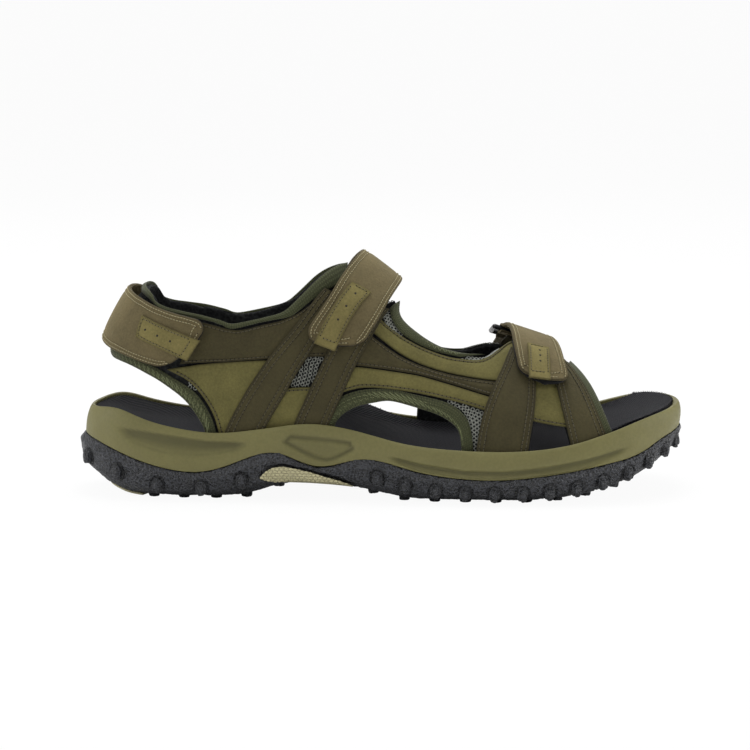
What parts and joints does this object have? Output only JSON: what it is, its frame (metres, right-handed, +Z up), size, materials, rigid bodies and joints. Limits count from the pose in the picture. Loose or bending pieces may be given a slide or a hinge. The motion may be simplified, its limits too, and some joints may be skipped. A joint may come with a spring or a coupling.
{
  "type": "strappy sport sandal",
  "caption": "Right-foot open sport sandal with a lugged rubber sole, moulded midsole, leather and mesh upper and hook-and-loop straps at the forefoot, instep and heel.",
  "frame": {"origin": "on the ground under the middle of the heel, at the centre of the heel's middle ground stud", "axes": "+X from heel to toe, +Z up, the outer (lateral) side of the foot is -Y"},
  "size_m": [0.3013, 0.1095, 0.1206],
  "materials": {
    "rubber_black": "pebbled matt black moulded rubber",
    "eva_olive": "satin olive moulded foam",
    "tan_insert": "fine-textured tan rubber",
    "board": "fibre board",
    "foam_core": "soft dark foam",
    "footbed_fabric": "brushed black microfibre",
    "collar_fabric": "padded black textile",
    "edge_binding": "olive elastic edge binding with zigzag stitching",
    "mesh_lining": "silver spacer mesh over padded textile",
    "ring_plastic": "smooth black plastic",
    "loop_fabric": "black loop pile",
    "hook_fabric": "black hook tape",
    "tab_leather": "olive nubuck",
    "light_leather": "light olive nubuck",
    "dark_leather": "dark brown nubuck"
  },
  "bodies": {
    "sandal": {"outsole": "rubber_black", "arch_plate": "tan_insert", "heel_insert": "tan_insert", "midsole": "eva_olive", "insole_board": "board", "footbed": "foam_core", "footbed_cover": "footbed_fabric", "heel_collar": "collar_fabric", "collar_lower_binding": "edge_binding", "collar_upper_binding": "edge_binding", "lateral_quarter_lining": "mesh_lining", "lateral_vamp_lining": "mesh_lining", "lateral_toe_lining": "mesh_lining", "lateral_heel_panel": "light_leather", "lateral_collar_band": "dark_leather", "lateral_lower_infill": "light_leather", "lateral_upper_infill": "dark_leather", "lateral_rear_overlay": "dark_leather", "lateral_front_overlay": "dark_leather", "lateral_bridge_top": "light_leather", "lateral_bridge_middle": "dark_leather", "lateral_bridge_bottom": "light_leather", "lateral_arch_binding": "edge_binding", "lateral_throat_binding": "edge_binding", "lateral_toe_infill": "light_leather", "lateral_toe_rear_overlay": "dark_leather", "lateral_toe_front_overlay": "dark_leather", "lateral_toe_binding": "edge_binding", "medial_quarter_lining": "mesh_lining", "medial_vamp_lining": "mesh_lining", "medial_toe_lining": "mesh_lining", "medial_heel_panel": "light_leather", "medial_collar_band": "dark_leather", "medial_rear_overlay": "dark_leather", "medial_front_overlay": "dark_leather", "medial_bridge": "light_leather", "medial_arch_binding": "edge_binding", "medial_throat_binding": "edge_binding", "medial_toe_infill": "light_leather", "medial_toe_rear_overlay": "dark_leather", "medial_toe_front_overlay": "dark_leather", "medial_toe_binding": "edge_binding", "heel_loop_patch": "loop_fabric", "instep_loop_patch": "loop_fabric", "forefoot_loop_patch": "loop_fabric", "heel_keeper": "dark_leather", "instep_keeper": "dark_leather", "forefoot_keeper": "dark_leather"},
    "heel_ring_link": {"heel_ring": "ring_plastic"},
    "heel_strap_flap": {"heel_strap": "dark_leather", "heel_hook_patch": "hook_fabric", "heel_pull_tab": "tab_leather"},
    "instep_ring_link": {"instep_ring": "ring_plastic"},
    "instep_strap_flap": {"instep_strap": "dark_leather", "instep_hook_patch": "hook_fabric", "instep_pull_tab": "tab_leather"},
    "forefoot_ring_link": {"forefoot_ring": "ring_plastic"},
    "forefoot_strap_flap": {"forefoot_strap": "dark_leather", "forefoot_hook_patch": "hook_fabric", "forefoot_pull_tab": "tab_leather"}
  },
  "joints": [
    {"name": "heel_ring_hinge", "type": "hinge", "parent": "sandal", "child": "heel_ring_link", "pos_m": [0.0132, 0.03667, 0.07214], "axis": [-0.2823, 0.0334, -0.9587], "range_deg": [0, 25]},
    {"name": "heel_strap_hinge", "type": "hinge", "parent": "heel_ring_link", "child": "heel_strap_flap", "pos_m": [0.00495, 0.03393, 0.07448], "axis": [-0.2823, 0.0334, -0.9587], "range_deg": [0, 95]},
    {"name": "instep_ring_hinge", "type": "hinge", "parent": "sandal", "child": "instep_ring_link", "pos_m": [0.10031, 0.03143, 0.09229], "axis": [-0.9001, -0.0145, 0.4354], "range_deg": [0, 25]},
    {"name": "instep_strap_hinge", "type": "hinge", "parent": "instep_ring_link", "child": "instep_strap_flap", "pos_m": [0.1037, 0.02667, 0.09913], "axis": [-0.9001, -0.0145, 0.4354], "range_deg": [0, 105]},
    {"name": "forefoot_ring_hinge", "type": "hinge", "parent": "sandal", "child": "forefoot_ring_link", "pos_m": [0.18236, 0.03564, 0.07045], "axis": [-0.9554, -0.0499, 0.291], "range_deg": [0, 25]},
    {"name": "forefoot_strap_hinge", "type": "hinge", "parent": "forefoot_ring_link", "child": "forefoot_strap_flap", "pos_m": [0.1838, 0.02739, 0.07376], "axis": [-0.9554, -0.0499, 0.291], "range_deg": [0, 105]}
  ]
}
